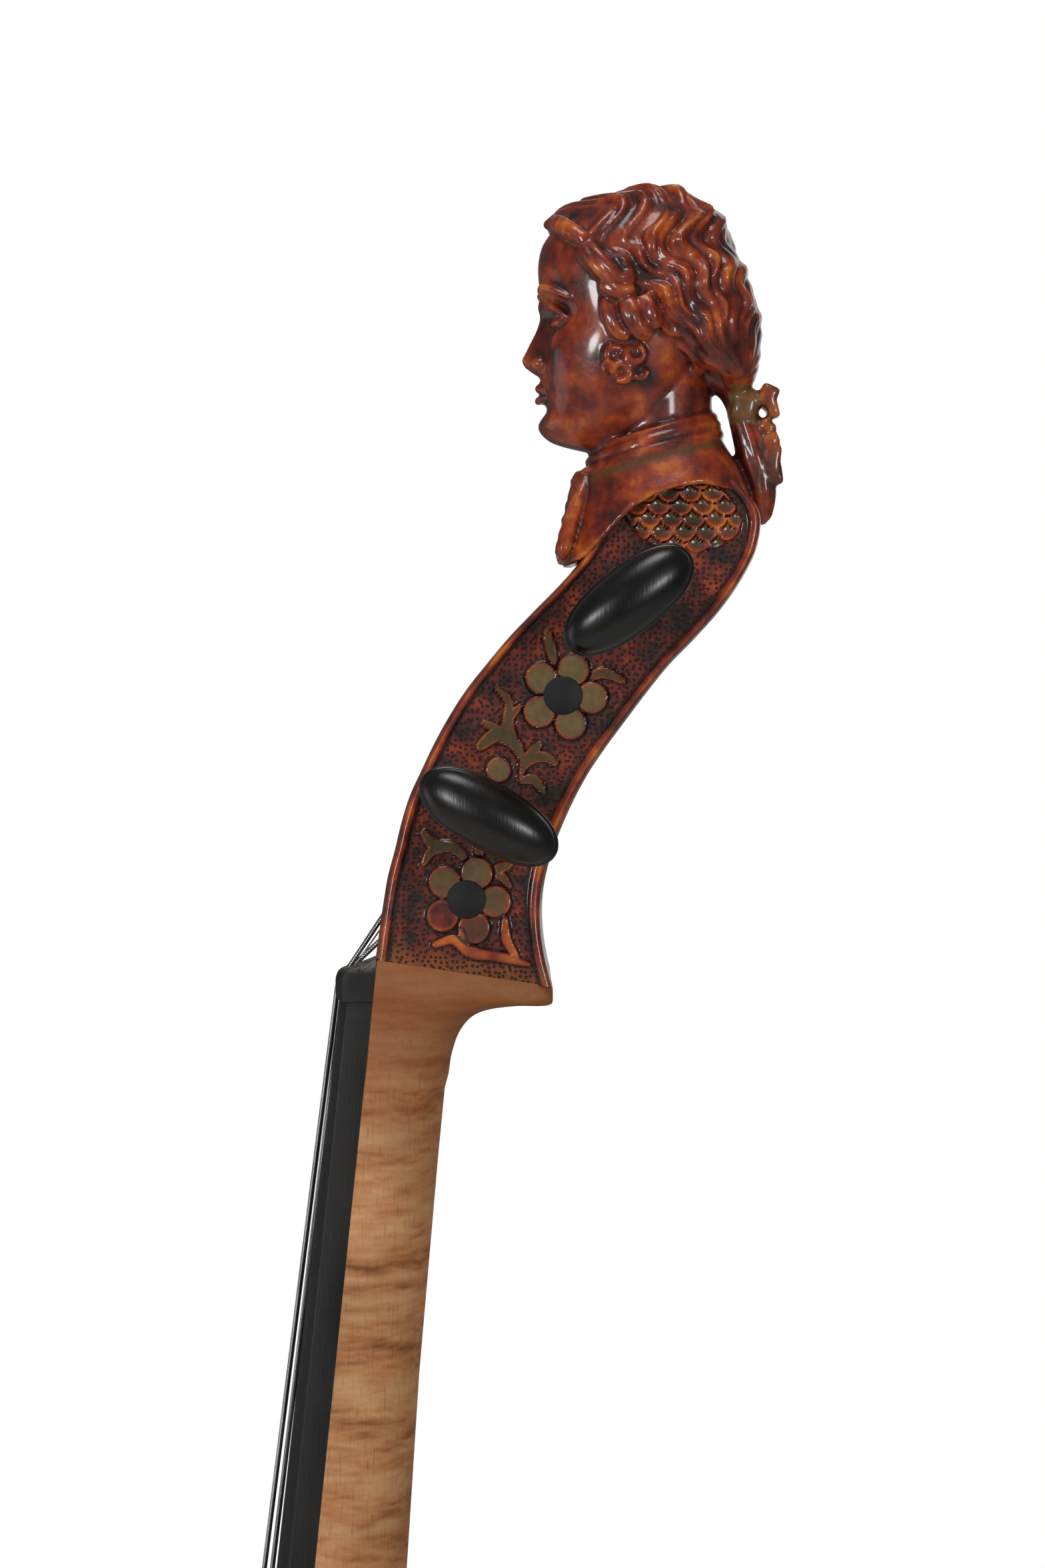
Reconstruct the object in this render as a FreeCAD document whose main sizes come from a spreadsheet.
"""A full-size violin with a carved figurehead in place of the scroll, built as its maker glues it up.

Frame: +Z runs up the instrument from the end button to the head, -Y is the front (strings) side,
and +X is the treble side. The origin is on the end button's axis, at its outer face.
"""
import FreeCAD, Part
import math
import os
from FreeCAD import Placement, Rotation, Vector

SIZES = {
    # body
    "body_length": 355, "edge_rise": 16, "rib_height": 31, "rib_thickness": 1.0, "overhang": 2.8,
    "edge_thickness": 4.0, "belly_arch": 15.5, "back_arch": 15.0, "plate_thickness": 3.0, "margin": 7.0,
    "purfling_inset": 4.0, "purfling_width": 1.3, "purfling_depth": 2.0,
    "lining_width": 2.0, "lining_depth": 7.0, "glue_line": 0.12, "button_reach": 12.0, "button_width": 21.0,
    # inside
    "block_width": 50, "top_block_depth": 17, "bottom_block_depth": 16, "post_radius": 3.1,
    "bar_width": 5.5, "bar_length": 268, "bar_depth": 11, "bar_offset": 15.5,
    # neck, fingerboard and nut
    "neck_length": 130, "glue_angle": 5.8, "overstand": 6.5, "tenon_depth": 6.0,
    "board_length": 270, "board_end_width": 42, "board_nut_width": 24, "board_edge": 4.2, "board_radius": 50,
    "nut_length": 5.2, "nut_rise": 0.7,
    # pegbox
    "cheek_low_width": 24.6, "cheek_top_width": 20.5, "cheek_wall": 5.0, "floor_wall": 5.5,
    # pegs
    "peg_small_radius": 3.15, "peg_taper": 0.0333, "peg_clearance": 0.05, "peg_gap": 11.5,
    "peg_thumb_length": 19.5, "peg_thumb_width": 23.4, "peg_thumb_thickness": 10.4, "peg_dish": 21,
    # strings, bridge, tailpiece
    "string_g": 0.82, "string_d": 0.80, "string_a": 0.68, "string_e": 0.28,
    "bridge_stop": 195, "bridge_height": 29.1, "bridge_foot_span": 41.5, "bridge_foot_thickness": 4.4,
    "bridge_top_thickness": 1.6, "nut_spread": 16.5, "bridge_spread": 33.5,
    "tail_gap": 55, "tail_length": 100, "tail_top_width": 40, "tail_low_width": 22, "tail_thickness": 5.6,
    "gut_radius": 0.95, "saddle_width": 34, "saddle_depth": 7, "saddle_rise": 3.6,
    # end button
    "button_knob_radius": 7.0, "button_knob_length": 6.0, "button_waist_radius": 5.0,
    "button_collar_radius": 6.4, "button_shaft_radius": 4.0, "button_shaft_length": 15.5,
}

doc = FreeCAD.newDocument("violin")
sheet = doc.addObject("Spreadsheet::Sheet", "sizes")
for row, (alias, value) in enumerate(SIZES.items(), 1):
    sheet.set(f"A{row}", alias)
    sheet.set(f"B{row}", str(value))
    sheet.setAlias(f"B{row}", alias)
doc.recompute()

PARTS = []


def size(name):
    """A driving dimension, read from the sheet."""
    return float(sheet.get(name))


def keep(obj, label):
    """Marks a document object as a finished sub-part with that name."""
    obj.Label = label
    PARTS.append(obj)
    return obj


def feature(label, shape):
    """A freeform sub-part whose shape is worked out by Part's own functions."""
    obj = doc.addObject("Part::Feature", label)
    obj.Shape = shape
    return keep(obj, label)


def helper(label, shape):
    """A construction shape that other features cut or fuse; it isn't a sub-part."""
    obj = doc.addObject("Part::Feature", "help_" + label)
    obj.Shape = shape
    return obj


def bind(obj, **links):
    """Binds properties of an object to formulas on the sheet."""
    for prop, formula in links.items():
        obj.setExpression(prop, formula)
    return obj


RIB = size("rib_height") / 2
EDGE_Z = size("edge_rise")
TOP_Z = EDGE_Z + size("body_length")
NUT_Z = TOP_Z + size("neck_length")
SLOPE = math.tan(math.radians(size("glue_angle")))
BELLY_EDGE_Y = -RIB - size("edge_thickness")
BRIDGE_Z = TOP_Z - size("bridge_stop")


def glue_y(z):
    """Y of the plane where the fingerboard is glued to the neck, at height z."""
    return BELLY_EDGE_Y - size("overstand") + (z - TOP_Z) * SLOPE


# ---- the outline: cubic arcs for the lower, middle and upper bout of the treble half ----
LOWER = [(0, 0), (60, 0), (104, 28), (104, 73), (104, 95), (92, 116), (87, 128),
         (84.5, 134), (86.5, 144), (92.5, 151.5)]
MIDDLE = [(88.5, 158), (72, 156), (56, 168), (56, 200), (56, 213), (63, 220), (73.5, 223.5)]
UPPER = [(77, 229.5), (71.5, 236), (70, 243), (71.5, 252), (73.4, 263), (84, 274), (84, 292),
         (84, 325), (48, 355), (0, 355)]


def bout_points(poles, inset=0.0, count=22, trim_start=0.0, trim_end=0.0):
    """Points at equal steps along a bout, moved inset mm inwards, without trim mm at either end."""
    fine = []
    for k in range(0, len(poles) - 1, 3):
        a, b, c, d = (Vector(x, 0, z) for x, z in poles[k:k + 4])
        for i in range(1 if k else 0, 41):
            t = i / 40
            u = 1 - t
            place = a * u ** 3 + b * (3 * u * u * t) + c * (3 * u * t * t) + d * t ** 3
            along = (b - a) * (u * u) + (c - b) * (2 * u * t) + (d - c) * (t * t)
            along.normalize()
            fine.append(place + Vector(-along.z, 0, along.x) * inset)
    run = [0.0]
    for p, q in zip(fine, fine[1:]):
        run.append(run[-1] + (q - p).Length)
    length = run[-1] - trim_start - trim_end
    points = []
    at = 0
    for i in range(count + 1):
        goal = trim_start + length * i / count
        while at < len(fine) - 2 and run[at + 1] < goal:
            at += 1
        share = (goal - run[at]) / (run[at + 1] - run[at])
        points.append(fine[at] + (fine[at + 1] - fine[at]) * share + Vector(0, 0, EDGE_Z))
    return points


def curve(points):
    """One smooth edge through the points."""
    line = Part.BSplineCurve()
    line.interpolate(points)
    return line.toShape()


def mirrored(shape):
    """The same shape on the bass side."""
    return shape.mirror(Vector(0, 0, 0), Vector(1, 0, 0))


def outline_face(inset, corner_trim=0.0):
    """A flat face in the plane Y = 0, inside the body outline moved inset mm inwards."""
    lower = bout_points(LOWER, inset, 30, trim_end=corner_trim)
    middle = bout_points(MIDDLE, inset, 20, corner_trim, corner_trim)
    upper = bout_points(UPPER, inset, 30, trim_start=corner_trim)
    lower[0].x = upper[-1].x = 0
    half = [curve(lower), Part.makeLine(lower[-1], middle[0]), curve(middle),
            Part.makeLine(middle[-1], upper[0]), curve(upper)]
    edges = half + [mirrored(e) for e in half]
    return Part.Face(Part.Wire(Part.__sortEdges__(edges)))


def slab(face, y_low, y_high):
    """The face pushed out from y_low to y_high."""
    base = face.copy()
    base.translate(Vector(0, y_low, 0))
    return base.extrude(Vector(0, y_high - y_low, 0))


def half_width(z):
    """Half of the body's width inside the flat margin, at height z over the lower edge, without corners."""
    stations = [(0, 0), (7, 0), (13, 52), (28, 79), (50, 93), (73, 97), (100, 90), (125, 74), (150, 60),
                (178, 50), (200, 49), (222, 54), (245, 65), (270, 74), (292, 77), (315, 70), (335, 48),
                (343, 28), (348, 0), (355, 0)]
    for (z0, w0), (z1, w1) in zip(stations, stations[1:]):
        if z <= z1:
            share = (z - z0) / (z1 - z0)
            return w0 + (w1 - w0) * share
    return 0.0


def arch(x, z, rise, flat):
    """Height over the edge at (x, z): a long arch times a cross arch, both of cosine form."""
    along = abs(2 * (z - flat) / (size("body_length") - 2 * flat) - 1)
    width = half_width(z)
    if along >= 1 or width <= 0.5:
        return 0.0
    across = min(1.0, abs(x) / width)
    return rise * (1 + math.cos(math.pi * along ** 2)) / 2 * (1 + math.cos(math.pi * across)) / 2


def arch_block(side, rise, base, flat, reach=40.0):
    """The space between the arched surface and a plane reach mm on the other side of it."""
    rows, columns = 44, 28
    x_span, z_span = 112.0, size("body_length") + 12
    net = []
    for i in range(rows + 1):
        z = -6 + z_span * i / rows
        line = []
        for j in range(columns + 1):
            x = -x_span + 2 * x_span * j / columns
            line.append(Vector(x, side * (base + arch(x, z, rise, flat)), z + EDGE_Z))
        net.append(line)
    surface = Part.BSplineSurface()
    surface.buildFromPolesMultsKnots(net, [4] + [1] * (rows - 3) + [4], [4] + [1] * (columns - 3) + [4],
                                     list(range(rows - 1)), list(range(columns - 1)), False, False, 3, 3)
    return surface.toShape().extrude(Vector(0, -side * reach, 0))


def plate(side, arch_height, face, hollow_face):
    """An arched plate with a hollow inside, glued to the ribs on its flat margin. side is -1 in front."""
    edge, rise = size("edge_thickness"), arch_height - size("edge_thickness")
    skin = edge - size("plate_thickness")
    outside = arch_block(side, rise, RIB + edge, size("margin"))
    inside = arch_block(side, rise, RIB + skin, size("margin"))
    solid = slab(face, side * RIB, side * (RIB + arch_height + 2)).common(outside)
    hollow = slab(hollow_face, side * (RIB - 1), side * (RIB + arch_height + 2)).common(inside)
    return solid.cut(hollow)


# ---- the neck's mortise through belly edge, upper ribs and top block ----
def neck_section(distance):
    """Half-width in front, depth and roundness of the neck, distance mm below the nut."""
    stations = [(-4, 11.9, 12.4, 2.0), (0, 12.0, 12.5, 2.0), (25, 12.8, 12.6, 2.0), (60, 14.0, 13.1, 2.0),
                (92, 15.1, 14.3, 2.0), (100, 15.4, 15.3, 2.1), (106, 15.6, 17.8, 2.2), (110, 15.8, 22.0, 2.4),
                (114, 15.9, 30.0, 2.7), (118, 16.0, 38.6, 3.0), (122, 16.1, 40.5, 3.2), (138, 16.3, 42.1, 3.2)]
    for one, two in zip(stations, stations[1:]):
        if distance <= two[0]:
            share = (distance - one[0]) / (two[0] - one[0])
            return [a + (b - a) * share for a, b in zip(one[1:], two[1:])]
    return list(stations[-1][1:])


def section_wire(distance):
    """A D-shaped section of the neck: flat on the glue plane, rounded at the back."""
    half, depth, power = neck_section(distance)
    z = NUT_Z - distance
    y = glue_y(z)
    points = []
    for i in range(13):
        angle = math.pi * i / 12
        c, s = math.cos(angle), math.sin(angle)
        narrow = 1 - 0.30 * min(1.0, max(0.0, (depth - 15) / 25)) * abs(s) ** 0.6
        x = math.copysign(abs(c) ** (2 / power), c) * half * narrow
        points.append(Vector(x, y + abs(s) ** (2 / power) * depth, z))
    points[0] = Vector(half, y, z)
    points[-1] = Vector(-half, y, z)
    return Part.Wire([curve(points), Part.makeLine(points[-1], points[0])])


tenon_floor = TOP_Z - size("overhang") - size("tenon_depth")
# Straight steps between the sections keep the heel 0.1 mm clear of the back's button.
stations = (-4, 0, 12, 25, 42, 60, 76, 92, 97, 100, 103, 106, 108, 110, 112, 114, 116, 118, 120, 122, 130, 138)
shaft = Part.makeLoft([section_wire(d) for d in stations], True, True)
below_block = Part.makeBox(80, 120, 40, Vector(-40, -60, tenon_floor - 40))
# The heel narrows to the round button of the back: (depth, distance from the button's middle).
HEEL = [(15.5, 10.4), (12.0, 10.9), (6.0, 12.4), (0.0, 15.6), (-3.5, 19.6), (-6.0, 24.4), (-7.2, 30.0)]
heel_points = [Vector(0, y, TOP_Z + r) for y, r in HEEL]
heel_core = Part.Face(Part.Wire([curve(heel_points), Part.makeLine(heel_points[-1], Vector(0, HEEL[-1][0], TOP_Z)),
                                 Part.makeLine(Vector(0, HEEL[-1][0], TOP_Z), Vector(0, RIB, TOP_Z)),
                                 Part.makeLine(Vector(0, RIB, TOP_Z), heel_points[0])]))
heel_core = heel_core.revolve(Vector(0, 0, TOP_Z), Vector(0, 1, 0), 360)
heel_room = Part.makeBox(60, 24, 29, Vector(-30, HEEL[-1][0] + 0.1, TOP_Z + 0.5)).cut(heel_core)
shaft = shaft.cut(below_block).cut(heel_room)
mortise = shaft.copy()

# ---- belly, back and purfling ----
plate_face = outline_face(0.0)
hollow_right = [Vector(half_width(z) - 2, 0, z + EDGE_Z)
                for z in (12, 19, 28, 39, 50, 73, 87, 100, 112, 125, 138, 150, 164, 178, 200, 222, 245, 270, 292, 315,
                          326, 335, 343)]
hollow_left = [Vector(-p.x, 0, p.z) for p in hollow_right]
hollow_face = Part.Face(Part.Wire([Part.makePolygon(hollow_right), Part.makeLine(hollow_right[-1], hollow_left[-1]),
                                   Part.makePolygon(hollow_left[::-1]), Part.makeLine(hollow_left[0], hollow_right[0])]))
for spare_z in (EDGE_Z, TOP_Z - 24):
    spare_points = [Vector(x, 0, spare_z + z) for x, z in ((-27, 0), (27, 0), (27, 24), (-27, 24), (-27, 0))]
    hollow_face = hollow_face.cut(Part.Face(Part.makePolygon(spare_points)))


def strip_face(poles, inset, width, trims, count=22):
    """A flat strip that follows a bout, width mm wide, in the plane Y = 0."""
    outer = bout_points(poles, inset, count, *trims)
    inner = bout_points(poles, inset + width, count, *trims)
    return Part.Face(Part.Wire([curve(outer), Part.makeLine(outer[-1], inner[-1]), curve(inner),
                                Part.makeLine(inner[0], outer[0])]))


def purfling_ring():
    """The purfling's six strips in one flat ring, crossed at the corners."""
    strips = [strip_face(poles, size("purfling_inset"), size("purfling_width"), trims)
              for poles, trims in ((LOWER, (0, 1.2)), (MIDDLE, (1.2, 1.2)), (UPPER, (1.2, 0)))]
    strips += [mirrored(strip) for strip in strips]
    solids = [strip.extrude(Vector(0, 1, 0)) for strip in strips]
    ring = solids[0].fuse(solids[1:]).removeSplitter()
    return ring


PURFLING_RING = purfling_ring()


def purfling(side, above=0.0):
    """The inlaid strip that runs round a plate, level with its edge or above mm higher."""
    outer = side * (RIB + size("edge_thickness"))
    depth = size("purfling_depth") + above
    grow = FreeCAD.Matrix()
    grow.scale(1, depth, 1)
    strip = PURFLING_RING.transformGeometry(grow)
    strip.translate(Vector(0, min(outer - side * size("purfling_depth"), outer + side * above), 0))
    return strip


def button_shape():
    """The half-round button of the back, under the heel."""
    width = size("button_width")
    box = Part.makeBox(width, size("edge_thickness"), size("button_reach") - 2, Vector(-width / 2, RIB, TOP_Z - 6))
    round_end = Part.makeCylinder(width / 2, size("edge_thickness"), Vector(0, RIB, TOP_Z), Vector(0, 1, 0))
    return box.common(Part.makeBox(width, 10, 7, Vector(-width / 2, RIB - 1, TOP_Z - 6))).fuse(
        round_end.common(Part.makeBox(60, 10, 60, Vector(-30, RIB - 1, TOP_Z - 1))))


# A sound hole's middle line as (x, height over the bridge, half-width), from the upper eye to the lower one.
F_LINE = [(25.4, 32.5, 0.9), (26.2, 36.4, 1.1), (29.8, 38.6, 1.5), (33.4, 36.0, 2.0), (34.9, 29.0, 2.5),
          (35.6, 16.0, 3.0), (37.4, 0.0, 3.2), (39.6, -16.0, 3.1), (41.0, -29.0, 2.8), (43.2, -37.0, 2.4),
          (47.6, -41.6, 1.9), (52.0, -40.0, 1.4), (53.0, -35.5, 1.0)]
F_EYES = [(24.6, 30.6, 3.1), (52.2, -32.2, 4.4)]


def f_hole(side):
    """The cutter for one sound hole: two round eyes joined by a long S-shaped slot."""
    left, right = [], []
    for i, (x, z, w) in enumerate(F_LINE):
        before, after = F_LINE[max(i - 1, 0)], F_LINE[min(i + 1, len(F_LINE) - 1)]
        along = Vector(after[0] - before[0], 0, after[1] - before[1]).normalize()
        across = Vector(-along.z, 0, along.x) * w
        left.append(Vector(x, 0, z + BRIDGE_Z) + across)
        right.append(Vector(x, 0, z + BRIDGE_Z) - across)
    slot = Part.Face(Part.Wire([curve(left), Part.makeLine(left[-1], right[-1]), curve(right),
                                Part.makeLine(right[0], left[0])]))
    cutter = slab(slot, -RIB - 30, -RIB + 1)
    for x, z, radius in F_EYES:
        cutter = cutter.fuse(Part.makeCylinder(radius, 31, Vector(x, -RIB - 30, z + BRIDGE_Z), Vector(0, 1, 0)))
    return cutter if side > 0 else mirrored(cutter)


saddle_seat = Part.makeBox(size("saddle_width"), size("edge_thickness") + 20, size("saddle_depth") + 5,
                           Vector(-size("saddle_width") / 2, -RIB - size("edge_thickness") - 20, EDGE_Z - 5))
belly_blank = plate(-1, size("belly_arch"), plate_face, hollow_face)
belly_shape = belly_blank.cut([purfling(-1, 1.0), mortise, saddle_seat, f_hole(1), f_hole(-1)])
back_shape = plate(1, size("back_arch"), plate_face, hollow_face).fuse(button_shape()).cut(purfling(1, 1.0))
feature("belly", belly_shape)
feature("back", back_shape)
feature("belly_purfling", purfling(-1).cut([mortise, saddle_seat]))
feature("back_purfling", purfling(1))


# ---- ribs, linings and blocks ----
def band(poles, inset, thickness, y_low, y_high, trims):
    """A strip of wood that follows a bout, thickness mm thick, between two depths."""
    return slab(strip_face(poles, inset, thickness, trims), y_low, y_high)


BOUTS = {"lower": (LOWER, (0, 2.5)), "middle": (MIDDLE, (2.5, 2.5)), "upper": (UPPER, (2.5, 0))}
for bout, (poles, trims) in BOUTS.items():
    rib = band(poles, size("overhang"), size("rib_thickness"), -RIB, RIB, trims).cut(mortise)
    if bout == "lower":
        pin_hole = Part.makeCylinder(size("button_shaft_radius"), 12, Vector(0, 0, EDGE_Z - 2), Vector(0, 0, 1))
        rib = rib.cut(pin_hole)
    feature(f"{bout}_rib_treble", rib)
    feature(f"{bout}_rib_bass", mirrored(rib))

rib_in = size("overhang") + size("rib_thickness") + size("glue_line")
inner_face = outline_face(rib_in, 3.4)
clear_of_block = size("block_width") / 2 + 0.6
LININGS = {"lower": (LOWER, (clear_of_block, 31)), "middle": (MIDDLE, (29, 23)), "upper": (UPPER, (27, clear_of_block))}
for plate_name, side in (("belly", -1), ("back", 1)):
    low, high = sorted((side * RIB, side * (RIB - size("lining_depth"))))
    for bout, (poles, trims) in LININGS.items():
        strip = band(poles, rib_in, size("lining_width"), low, high, trims)
        feature(f"{plate_name}_lining_{bout}_treble", strip)
        feature(f"{plate_name}_lining_{bout}_bass", mirrored(strip))

block_room = helper("block_room", slab(inner_face, -RIB, RIB))
mortise_room = helper("mortise_room", mortise)


def end_block(name, low):
    """A plain box bound to the sheet, fitted inside the ribs."""
    box = doc.addObject("Part::Box", name + "_box")
    bind(box, Length="sizes.block_width", Width="sizes.rib_height", Height=f"sizes.{name}_depth")
    bind(box, **{".Placement.Base.x": "-sizes.block_width / 2", ".Placement.Base.y": "-sizes.rib_height / 2",
                 ".Placement.Base.z": low})
    fitted = doc.addObject("Part::MultiCommon", name + "_fitted")
    fitted.Shapes = [box, block_room]
    return fitted


top_block = doc.addObject("Part::Cut", "top_block")
top_block.Base = end_block("top_block", "sizes.edge_rise + sizes.body_length - sizes.overhang"
                           " - sizes.rib_thickness - sizes.top_block_depth")
top_block.Tool = mortise_room
keep(top_block, "top_block")
bore = doc.addObject("Part::Cylinder", "button_bore")
bind(bore, Radius="sizes.button_shaft_radius", Height="sizes.edge_rise + sizes.overhang + sizes.button_shaft_length")
bottom_block = doc.addObject("Part::Cut", "bottom_block")
bottom_block.Base = end_block("bottom_block", "sizes.edge_rise + sizes.overhang + sizes.rib_thickness")
bottom_block.Tool = bore
keep(bottom_block, "bottom_block")

CORNERS = {
    "lower": [(93, 152), (88, 158), (76, 160), (66, 164), (78, 134), (83, 127), (88, 132)],
    "upper": [(78, 229), (73, 222), (62, 219), (55.5, 211), (65, 247), (70, 249), (73, 243)],
}
for level, plan in CORNERS.items():
    points = [Vector(x, 0, z + EDGE_Z) for x, z in plan]
    wedge = slab(Part.Face(Part.makePolygon(points + points[:1])), -RIB, RIB)
    solid = max(wedge.common(block_room.Shape).Solids, key=lambda s: s.Volume)
    feature(f"{level}_corner_block_treble", solid)
    feature(f"{level}_corner_block_bass", mirrored(solid))


# ---- bass bar and sound post, both fitted to the arched inside ----
skin_y = RIB + size("edge_thickness") - size("plate_thickness") - size("glue_line")
front_room = arch_block(-1, size("belly_arch") - size("edge_thickness"), skin_y, size("margin"), 70.0)
back_room = arch_block(1, size("back_arch") - size("edge_thickness"), skin_y, size("margin"), 70.0)

bar_middle = EDGE_Z + size("body_length") / 2
bar_half = size("bar_length") / 2
bar_edge_x = -size("bar_offset") - size("bar_width") / 2
bar_front_y = -RIB - size("belly_arch")
bar_top = [Vector(bar_edge_x, bar_front_y, bar_middle - bar_half), Vector(bar_edge_x, -RIB - 0.2, bar_middle - bar_half),
           Vector(bar_edge_x, bar_front_y + 3 + size("bar_depth"), bar_middle),
           Vector(bar_edge_x, -RIB - 0.2, bar_middle + bar_half), Vector(bar_edge_x, bar_front_y, bar_middle + bar_half)]
bar_arc = Part.Arc(bar_top[1], bar_top[2], bar_top[3]).toShape()
bar_wire = Part.Wire([Part.makeLine(bar_top[0], bar_top[1]), bar_arc, Part.makeLine(bar_top[3], bar_top[4]),
                      Part.makeLine(bar_top[4], bar_top[0])])
bar_blank = Part.Face(bar_wire).extrude(Vector(size("bar_width"), 0, 0))
feature("bass_bar", max(bar_blank.common(front_room).Solids, key=lambda s: s.Volume))

post_blank = Part.makeCylinder(size("post_radius"), 70, Vector(19, -35, BRIDGE_Z - 7), Vector(0, 1, 0))
feature("sound_post", post_blank.common(front_room).common(back_room))

# ---- fingerboard and nut ----
board_end_z = NUT_Z - size("board_length")


def board_section(z, width, lift=0.0, edge=None):
    """The fingerboard's section at height z: flat behind, rounded in front."""
    edge = size("board_edge") if edge is None else edge
    half, radius = width / 2, size("board_radius")
    sagitta = radius - math.sqrt(radius ** 2 - half ** 2)
    y = glue_y(z)
    left, right = Vector(-half, y - edge - lift, z), Vector(half, y - edge - lift, z)
    crown = Vector(0, y - edge - sagitta - lift, z)
    return Part.Wire([Part.makeLine(Vector(half, y, z), Vector(-half, y, z)), Part.makeLine(Vector(-half, y, z), left),
                      Part.Arc(left, crown, right).toShape(), Part.makeLine(right, Vector(half, y, z))])


def board_top(x, z):
    """Y of the fingerboard's playing surface at (x, z), carried on to the bridge."""
    share = (NUT_Z - z) / size("board_length")
    half = (size("board_nut_width") + (size("board_end_width") - size("board_nut_width")) * share) / 2
    radius = size("board_radius")
    rise = math.sqrt(radius ** 2 - x ** 2) - math.sqrt(radius ** 2 - half ** 2)
    return glue_y(z) - size("board_edge") - rise


board = Part.makeLoft([board_section(NUT_Z, size("board_nut_width")),
                       board_section(board_end_z, size("board_end_width"))], True)
scoop_top, scoop_end = TOP_Z - 6, board_end_z - 5
scoop = Part.makeCone(19.5, 14.0, scoop_top - scoop_end, Vector(0, glue_y(scoop_end) + 14.0, scoop_end),
                      Vector(0, glue_y(scoop_top) + 11.0 - glue_y(scoop_end) - 14.0, scoop_top - scoop_end))
feature("fingerboard", board.cut(scoop))

STRINGS = ["g", "d", "a", "e"]
SPREAD = {"g": -0.5, "d": -1 / 6, "a": 1 / 6, "e": 0.5}


def radius_of(name):
    """A string's own radius."""
    return size("string_" + name) / 2


NUT_STEPS = ((0.0, 0.0), (0.38, 0.3), (0.7, 1.2), (1.0, 2.9))
nut_blank = Part.makeLoft([board_section(NUT_Z + share * size("nut_length"), size("board_nut_width") - 0.2 * share,
                                         size("nut_rise") - fall) for share, fall in NUT_STEPS], True)


def nut_point(name, top=False):
    """Where a string's axis bends on the nut: at its front, or at its top towards the pegbox."""
    x = size("nut_spread") * SPREAD[name]
    y = board_top(x, NUT_Z) - 0.15 - radius_of(name)
    return Vector(x, y + 2.0, NUT_Z + size("nut_length") * 0.95) if top else Vector(x, y, NUT_Z + 1.5)


# ---- pegs ----
# Each peg: place across the pegbox (depth behind the nut's front corner, height over the nut), side of its thumb piece,
# and the turn of its thumb piece from the vertical.
PEGS = {"g": (14.7, 15.75, -1, 20), "e": (18.4, 29.1, 1, 60), "d": (29.9, 47.8, -1, -37), "a": (39.6, 61.8, 1, -52)}
FRONT_Y = glue_y(NUT_Z)


def peg_axis(name):
    """Y and Z of a peg's axis."""
    depth, height = PEGS[name][:2]
    return FRONT_Y + depth, NUT_Z + height


def cheek_half(height):
    """Half-width of the pegbox, height mm over the nut."""
    share = height / 76
    return (size("cheek_low_width") + (size("cheek_top_width") - size("cheek_low_width")) * share) / 2


def turned(profile, y, z, side):
    """A round piece turned about an axis along X, from (distance from the small end, radius) pairs."""
    points = [Vector(x, r, 0) for x, r in profile]
    face = Part.Face(Part.makePolygon(points + points[:1]))
    solid = face.revolve(Vector(0, 0, 0), Vector(1, 0, 0), 360)
    if side < 0:
        solid = mirrored(solid)
    solid.translate(Vector(0, y, z))
    return solid


def peg_radius(x, start):
    """Radius of the tapered shaft at x, measured towards the thumb piece."""
    return size("peg_small_radius") + (x - start) * size("peg_taper") / 2


def peg_shape(name, extra=0.0):
    """A friction peg: tapered shaft, collar and dished thumb piece; extra widens it for its own hole."""
    y, z = peg_axis(name)
    side, lean = PEGS[name][2:]
    half = cheek_half(PEGS[name][1])
    start, collar = -half, half + size("peg_gap")
    if extra:
        shaft = [(start - 1, 0), (start - 1, peg_radius(start - 1, start) + extra),
                 (collar, peg_radius(collar, start) + extra), (collar, 0)]
        return turned(shaft, y, z, side)
    neck = peg_radius(collar, start)
    profile = [(start, 0), (start, peg_radius(start, start)), (collar, neck), (collar + 0.2, neck + 1.3),
               (collar + 0.6, neck + 1.6), (collar + 1.4, neck + 1.6), (collar + 1.8, neck + 1.3),
               (collar + 2.2, neck + 0.2),
               (collar + 6.0, neck - 0.3), (collar + 6.0, 0)]
    shaft = turned(profile, y, z, side)
    length, width, thick = size("peg_thumb_length"), size("peg_thumb_width"), size("peg_thumb_thickness")
    base = collar + 1.5
    plan = [Vector(base, 0, neck), Vector(base + 3, 0, neck + 2.2), Vector(base + 8, 0, width / 2 - 1.2),
            Vector(base + 12.5, 0, width / 2), Vector(base + length - 2.6, 0, width / 2 - 3.2),
            Vector(base + length, 0, 0)]
    upper = curve(plan)
    lower = upper.mirror(Vector(0, 0, 0), Vector(0, 0, 1))
    thumb = Part.Face(Part.Wire([upper, lower, Part.makeLine(plan[0], Vector(base, 0, -neck))]))
    thumb.translate(Vector(0, -thick / 2 - 1, 0))
    thumb = thumb.extrude(Vector(0, thick + 2, 0))
    bow = ((width / 2) ** 2 + (thick / 2) ** 2) / thick
    for way in (-1, 1):
        lens = Part.makeCylinder(bow, length + 4, Vector(base - 2, way * (bow - thick / 2), 0), Vector(1, 0, 0))
        thumb = thumb.common(lens)
        dish = Part.makeCylinder(size("peg_dish"), width + 4,
                                 Vector(base + 7.5, way * (size("peg_dish") + 2.9), -width / 2 - 2), Vector(0, 0, 1))
        thumb = thumb.cut(dish)
    thumb.rotate(Vector(0, 0, 0), Vector(1, 0, 0), lean)
    if side < 0:
        thumb = mirrored(thumb)
    thumb.translate(Vector(0, y, z))
    return shaft.fuse(thumb)


# ---- string windings and strings ----
WINDING_START = {"g": 5.6, "d": 5.2, "a": 4.6, "e": 5.0}
TURNS = {"g": 4, "d": 4, "a": 4, "e": 6}


def winding_span(name):
    """Nearest and farthest distance of a winding from the middle plane."""
    far = WINDING_START[name]
    return far - TURNS[name] * size("string_" + name), far


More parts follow.
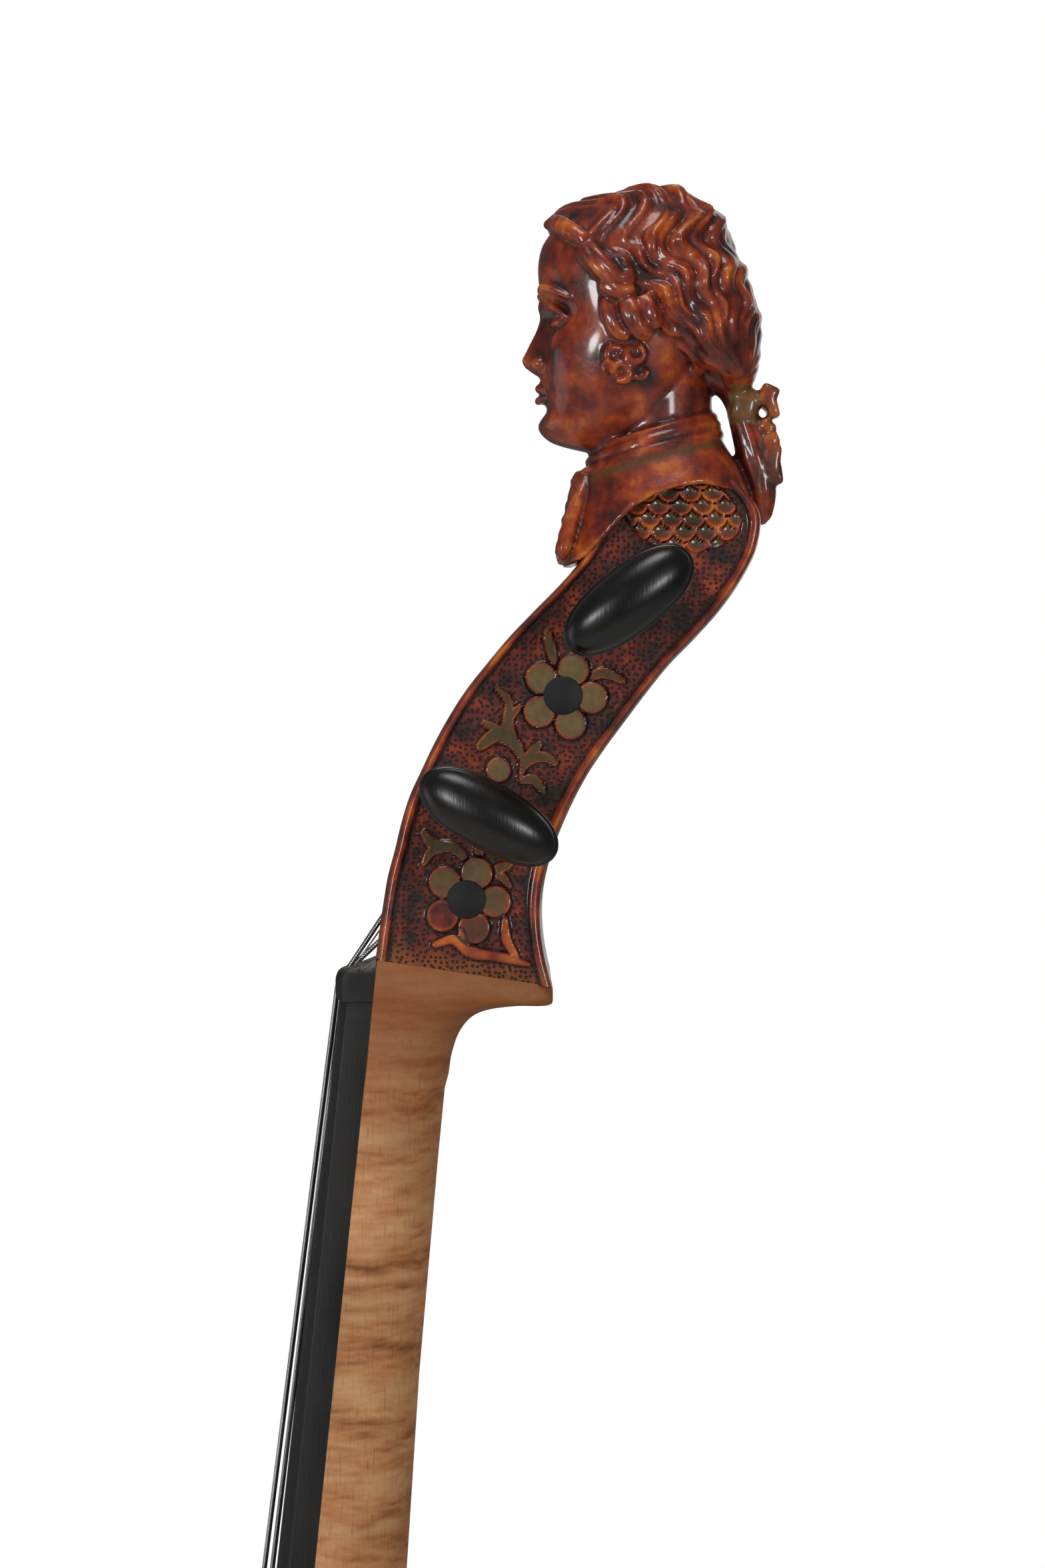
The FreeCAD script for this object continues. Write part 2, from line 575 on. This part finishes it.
def winding_shape(name):
    """The turns of a string on its peg, drawn as one sleeve with a round ridge for each turn."""
    y, z = peg_axis(name)
    start = -cheek_half(PEGS[name][1])
    near, far = winding_span(name)
    r = radius_of(name)
    profile = [(far, peg_radius(far, start)), (near, peg_radius(near, start))]
    for turn in range(TURNS[name]):
        middle = near + r * (2 * turn + 1)
        for k in range(7):
            angle = math.pi * (1 - k / 6)
            reach = peg_radius(middle, start) + r * (1 + 0.9 * math.sin(angle)) - 0.1 * r
            profile.append((middle + r * 0.98 * math.cos(angle), reach))
    return turned(profile, y, z, PEGS[name][2])


def bridge_point(name):
    """Where a string's axis crosses the bridge's crown."""
    x = size("bridge_spread") * SPREAD[name]
    radius = size("board_radius")
    drop = radius - math.sqrt(radius ** 2 - x ** 2) + 0.045 * x
    return Vector(x, -RIB - size("belly_arch") - size("bridge_height") + drop - radius_of(name) * 0.6, BRIDGE_Z)


def peg_point(name):
    """Where a string meets its winding: it runs over the front of the peg, on a tangent."""
    y, z = peg_axis(name)
    near, far = winding_span(name)
    x = PEGS[name][2] * (near + radius_of(name))
    start = -cheek_half(PEGS[name][1])
    reach = peg_radius(near, start) + radius_of(name) * 3 + 0.06
    nut = nut_point(name, True)
    away = math.hypot(y - nut.y, z - nut.z)
    angle = math.atan2(z - nut.z, y - nut.y) + math.asin(reach / away)
    run = math.sqrt(away ** 2 - reach ** 2)
    return Vector(x, nut.y + run * math.cos(angle), nut.z + run * math.sin(angle))


TAIL_TOP_Z = BRIDGE_Z - size("tail_gap")
TAIL_TOP_Y = -RIB - size("belly_arch") - 16.5


def tail_point(name):
    """Where a string's axis lies on the tailpiece's fret."""
    x = size("tail_top_width") * 0.68 * SPREAD[name]
    return Vector(x, TAIL_TOP_Y - size("tail_thickness") / 2 - 1.5 + 0.012 * x * x, TAIL_TOP_Z)


def rod(points, radius):
    """A round rod through the points, with a ball at each bend."""
    rods = []
    for a, b in zip(points, points[1:]):
        rods.append(Part.makeCylinder(radius, (b - a).Length, a, b - a))
    bends = [Part.makeSphere(radius, p) for p in points[1:-1]]
    return rods[0].fuse(rods[1:] + bends)


def string_shape(name):
    """A string from its hole in the tailpiece over bridge and nut to its peg."""
    tail = tail_point(name)
    sunk = tail + Vector(0, 4.2, -5.5)
    route = [sunk, tail, bridge_point(name), nut_point(name), nut_point(name, True), peg_point(name)]
    return rod(route, radius_of(name))


strings = {name: string_shape(name) for name in STRINGS}
all_strings = list(strings.values())
feature("nut", nut_blank.cut(all_strings))
for name in STRINGS:
    feature("string_" + name, strings[name])
    feature("winding_" + name, winding_shape(name))
    feature("peg_" + name, peg_shape(name))

# ---- neck, pegbox and carved head, one billet ----
CHEEK_FRONT = [(0.57, 5.6), (1.9, 15), (4.7, 28), (9.9, 40.5), (18.2, 53), (29.8, 65.6), (33.5, 70.5)]
CHEEK_BACK = [(28.6, 0), (26.4, 9), (26.8, 19.5), (31.2, 32), (38.1, 42.5), (47.9, 55), (56, 65.5), (60.6, 76)]
CHIN = [(28.6, 0), (20, -1.5), (15.6, -3.6), (13.4, -6), (12.6, -9)]


def side_view(points):
    """Points of the side view (depth behind the nut's front corner, height over it) in the middle plane."""
    return [Vector(0, FRONT_Y + a, NUT_Z + b) for a, b in points]


front_line, back_line, chin_line = (side_view(p) for p in (CHEEK_FRONT, CHEEK_BACK, CHIN))
seat_low = Vector(0, glue_y(NUT_Z - 9), NUT_Z - 9)
side_wire = Part.Wire([Part.makeLine(seat_low, front_line[0]), curve(front_line),
                       Part.makeLine(front_line[-1], back_line[-1]), curve(back_line[::-1]),
                       curve(chin_line), Part.makeLine(chin_line[-1], seat_low)])
pegbox = Part.Face(side_wire)
pegbox.translate(Vector(-20, 0, 0))
pegbox = pegbox.extrude(Vector(40, 0, 0))
wedge_points = [(-12.0, -9), (-cheek_half(0), 0), (-cheek_half(76), 76), (cheek_half(76), 76), (cheek_half(0), 0),
                (12.0, -9)]
wedge_wire = [Vector(x, -60, NUT_Z + b) for x, b in wedge_points]
wedge = Part.Face(Part.makePolygon(wedge_wire + wedge_wire[:1])).extrude(Vector(0, 130, 0))
pegbox = pegbox.common(wedge)

channel_side = side_view([(-2, 7.2), (12, 7.2), (20.2, 12), (21.6, 22), (25.6, 33.5), (34.2, 44.7), (43, 56),
                          (47.5, 65.5), (40.5, 68.5), (28, 67.5), (14, 60), (-2, 40)])
channel = Part.Face(Part.makePolygon(channel_side + channel_side[:1]))
channel.translate(Vector(-20, 0, 0))
channel = channel.extrude(Vector(40, 0, 0))
inset = size("cheek_wall")
mouth = inset - 1.6
channel_plan = [(-cheek_half(0) + mouth, 0), (-cheek_half(14) + mouth, 14), (-cheek_half(30) + inset, 30),
                (-cheek_half(76) + inset, 76), (cheek_half(76) - inset, 76), (cheek_half(30) - inset, 30),
                (cheek_half(14) - mouth, 14), (cheek_half(0) - mouth, 0)]
channel_wedge = [Vector(x, -60, NUT_Z + b) for x, b in channel_plan]
channel = channel.common(Part.Face(Part.makePolygon(channel_wedge + channel_wedge[:1])).extrude(Vector(0, 130, 0)))
peg_holes = [peg_shape(name, size("peg_clearance")) for name in STRINGS]


def egg(depth, height, x, half_y, half_z, half_x, lean=0.0):
    """An ellipsoid in the side view's measures, leaning back by lean degrees."""
    ball = Part.makeSphere(1.0)
    grow = FreeCAD.Matrix()
    grow.scale(half_x, half_y, half_z)
    ball = ball.transformGeometry(grow)
    ball.rotate(Vector(0, 0, 0), Vector(1, 0, 0), lean)
    ball.translate(Vector(x, FRONT_Y + depth, NUT_Z + height))
    return ball


# The figurehead: shoulders, stock, head, hair and the queue tied at the nape.
COAT = [(33.5, 70.5), (30.4, 68.6), (31.4, 75), (34.6, 84.5), (53.2, 88.5), (56.5, 82), (61.0, 79), (60.6, 76)]
coat_line = side_view(COAT)
coat = Part.Face(Part.makePolygon(coat_line + coat_line[:1]))
coat.translate(Vector(-20, 0, 0))
coat_front = [(-10.6, 66), (-12.4, 73), (-11.6, 79), (-9.2, 89), (9.2, 89), (11.6, 79), (12.4, 73), (10.6, 66)]
coat_wire = [Vector(x, -60, NUT_Z + b) for x, b in coat_front]
coat_room = Part.Face(Part.makePolygon(coat_wire + coat_wire[:1])).extrude(Vector(0, 130, 0))
bust = [
    coat.extrude(Vector(40, 0, 0)).common(coat_room),
    Part.makeCone(9.6, 9.0, 14, Vector(0, FRONT_Y + 44.2, NUT_Z + 84), Vector(0, -0.08, 1)),
    egg(39.5, 108.5, 0, 14.0, 20.0, 12.0, -4),
    egg(43.8, 111.6, 0, 16.6, 18.4, 14.4, -4),
    egg(51.5, 99, 0, 6.0, 8.0, 10.0),
]
queue_line = side_view([(55.2, 100.5), (59.4, 87)])
queue_parts = [Part.makeCone(3.0, 3.9, 14.1, queue_line[0], queue_line[1] - queue_line[0]),
               egg(61.0, 84.0, 0, 4.7, 9.4, 4.6, -13)]
blank = shaft.fuse([pegbox] + bust + queue_parts)
neck = blank.cut([channel] + peg_holes)
feature("neck", neck)

# ---- bridge ----
CROWN_Y = -RIB - size("belly_arch")
height = size("bridge_height")
crown_half = size("bridge_foot_span") / 2
crown_drop = size("board_radius") - math.sqrt(size("board_radius") ** 2 - crown_half ** 2)


def bridge_y(points):
    """Points of the bridge's front view (x, height over the belly's crown) in its own plane."""
    return [Vector(x, CROWN_Y - h, 0) for x, h in points]


crown_points = bridge_y([(-crown_half, height - crown_drop + 0.9), (0, height), (crown_half, height - crown_drop - 0.9)])
right_side = bridge_y([(crown_half, height - crown_drop - 0.9), (22.2, 22), (19.6, 19.3), (15.6, 18.6), (12.0, 16.2),
                       (12.2, 13.2), (15.0, 11.4), (19.0, 10.6), (20.6, 8.2), (18.0, 5.6), (17.2, 3.6), (21.5, 1.4),
                       (21.8, -6)])
left_side = bridge_y([(-crown_half, height - crown_drop + 0.9), (-22.2, 23.2), (-19.6, 19.9), (-15.6, 18.8),
                      (-12.0, 16.2), (-12.2, 13.2), (-15.0, 11.4), (-19.0, 10.6), (-20.6, 8.2), (-18.0, 5.6),
                      (-17.2, 3.6), (-21.5, 1.4), (-21.8, -6)])
inner_side = bridge_y([(11.0, -6), (11.4, 1.0), (8.4, 4.4), (0, 6.6), (-8.4, 4.4), (-11.4, 1.0), (-11.0, -6)])
bridge_wire = Part.Wire(Part.__sortEdges__([
    Part.Arc(*crown_points).toShape(), curve(right_side), Part.makeLine(right_side[-1], inner_side[0]),
    curve(inner_side), Part.makeLine(inner_side[-1], left_side[-1]), curve(left_side)]))
foot, lip = size("bridge_foot_thickness"), size("bridge_top_thickness")
plank = Part.Face(bridge_wire)
plank.translate(Vector(0, 0, BRIDGE_Z - foot))
plank = plank.extrude(Vector(0, 0, 2 * foot))
low_y, high_y = CROWN_Y + 6, CROWN_Y - height - 1
taper_points = [Vector(-30, low_y, BRIDGE_Z - foot / 2), Vector(-30, low_y, BRIDGE_Z + foot / 2),
                Vector(-30, high_y, BRIDGE_Z + lip / 2), Vector(-30, high_y, BRIDGE_Z - lip / 2)]
taper = Part.Face(Part.makePolygon(taper_points + taper_points[:1])).extrude(Vector(60, 0, 0))
heart = [Part.makeCylinder(2.3, 20, Vector(x, CROWN_Y - 19.6, BRIDGE_Z - 10), Vector(0, 0, 1)) for x in (-2.1, 2.1)]
heart.append(Part.makeCylinder(1.5, 20, Vector(0, CROWN_Y - 16.2, BRIDGE_Z - 10), Vector(0, 0, 1)))
belly_room = arch_block(-1, size("belly_arch") - size("edge_thickness"), RIB + size("edge_thickness"), size("margin"))
bridge = plank.common(taper).cut(heart + [belly_room] + all_strings)
feature("bridge", bridge)

# ---- tailpiece, tailgut, saddle and end button ----
tail_low_z = TAIL_TOP_Z + 4 - size("tail_length")
tail_low_y = -RIB - size("edge_thickness") - 8.5


def tail_section(z, y, half, thick, bow):
    """A tailpiece section: hollow-free, flat behind and bowed in front."""
    left, right = Vector(-half, y - thick + bow, z), Vector(half, y - thick + bow, z)
    return Part.Wire([Part.makeLine(Vector(half - 1, y, z), Vector(1 - half, y, z)),
                      Part.makeLine(Vector(1 - half, y, z), left),
                      Part.Arc(left, Vector(0, y - thick - 1.2, z), right).toShape(),
                      Part.makeLine(right, Vector(half - 1, y, z))])


tail_thick = size("tail_thickness")
tail = Part.makeLoft([tail_section(tail_low_z, tail_low_y, size("tail_low_width") / 2, tail_thick + 1, 2.2),
                      tail_section(TAIL_TOP_Z - 30, TAIL_TOP_Y + 5.8, size("tail_top_width") * 0.36, tail_thick, 2.4),
                      tail_section(TAIL_TOP_Z + 4, TAIL_TOP_Y, size("tail_top_width") / 2, tail_thick, 2.6)], True)

waist_z = size("button_knob_length") + 3.0
gut_x = size("button_waist_radius") + size("gut_radius")
gut_side = [Vector(gut_x - 1.4, tail_low_y - 1.5, tail_low_z + 9), Vector(gut_x - 1.2, -RIB - 8.4, EDGE_Z + 3.0),
            Vector(gut_x - 0.8, -RIB - 7.4, EDGE_Z - 1.2), Vector(gut_x, 0, waist_z)]
gut_loop = Part.makeTorus(gut_x, size("gut_radius"), Vector(0, 0, waist_z), Vector(0, 0, 1)).common(
    Part.makeBox(40, 20, 20, Vector(-20, 0, waist_z - 10)))
gut_right = rod(gut_side, size("gut_radius"))
tailgut = gut_right.fuse([mirrored(gut_right), gut_loop])
feature("tailgut", tailgut)
feature("tailpiece", tail.cut(all_strings + [tailgut]))

saddle_box = doc.addObject("Part::Box", "saddle_box")
bind(saddle_box, Length="sizes.saddle_width", Height="sizes.saddle_depth",
     Width="sizes.edge_thickness + sizes.saddle_rise")
bind(saddle_box, **{".Placement.Base.x": "-sizes.saddle_width / 2", ".Placement.Base.z": "sizes.edge_rise",
                    ".Placement.Base.y": "-sizes.rib_height / 2 - sizes.edge_thickness - sizes.saddle_rise"})
doc.recompute()
rounded = doc.addObject("Part::Fillet", "saddle_rounded")
rounded.Base = saddle_box
front_edges = [i + 1 for i, e in enumerate(saddle_box.Shape.Edges)
               if e.BoundBox.YMax < -RIB - size("edge_thickness") - 1 and e.BoundBox.XLength > 10]
rounded.Edges = [(i, 1.8, 1.8) for i in front_edges]
gut_room = helper("gut_room", tailgut)
saddle = doc.addObject("Part::Cut", "saddle")
saddle.Base, saddle.Tool = rounded, gut_room
keep(saddle, "saddle")

STACK = [("knob", "button_knob_radius", "0 mm", "button_knob_length"),
         ("waist", "button_waist_radius", "sizes.button_knob_length", "button_knob_length"),
         ("collar", "button_collar_radius", "2 * sizes.button_knob_length",
          "edge_rise + sizes.overhang - 2 * sizes.button_knob_length"),
         ("pin", "button_shaft_radius", "sizes.edge_rise + sizes.overhang", "button_shaft_length")]
turned_parts = []
for name, radius, start, length in STACK:
    piece = doc.addObject("Part::Cylinder", "button_" + name)
    bind(piece, Radius=f"sizes.{radius}", Height=f"sizes.{length}")
    bind(piece, **{".Placement.Base.z": start})
    turned_parts.append(piece)
end_button = doc.addObject("Part::MultiFuse", "end_button")
end_button.Shapes = turned_parts
keep(end_button, "end_button")

doc.recompute()
for obj in doc.Objects:
    if "Invalid" in obj.State or "Error" in obj.State:
        raise RuntimeError(f"{obj.Label}: {obj.State}")
os.makedirs("parts", exist_ok=True)
for obj in PARTS:
    if obj.Shape.isNull() or not obj.Shape.isValid():
        raise RuntimeError(f"{obj.Label} has no valid shape")
    if len(obj.Shape.Solids) != 1:
        print(obj.Label, "has", len(obj.Shape.Solids), "solids")
    obj.Shape.exportStep(f"parts/{obj.Label}.step")
print(len(PARTS), "sub-parts written")
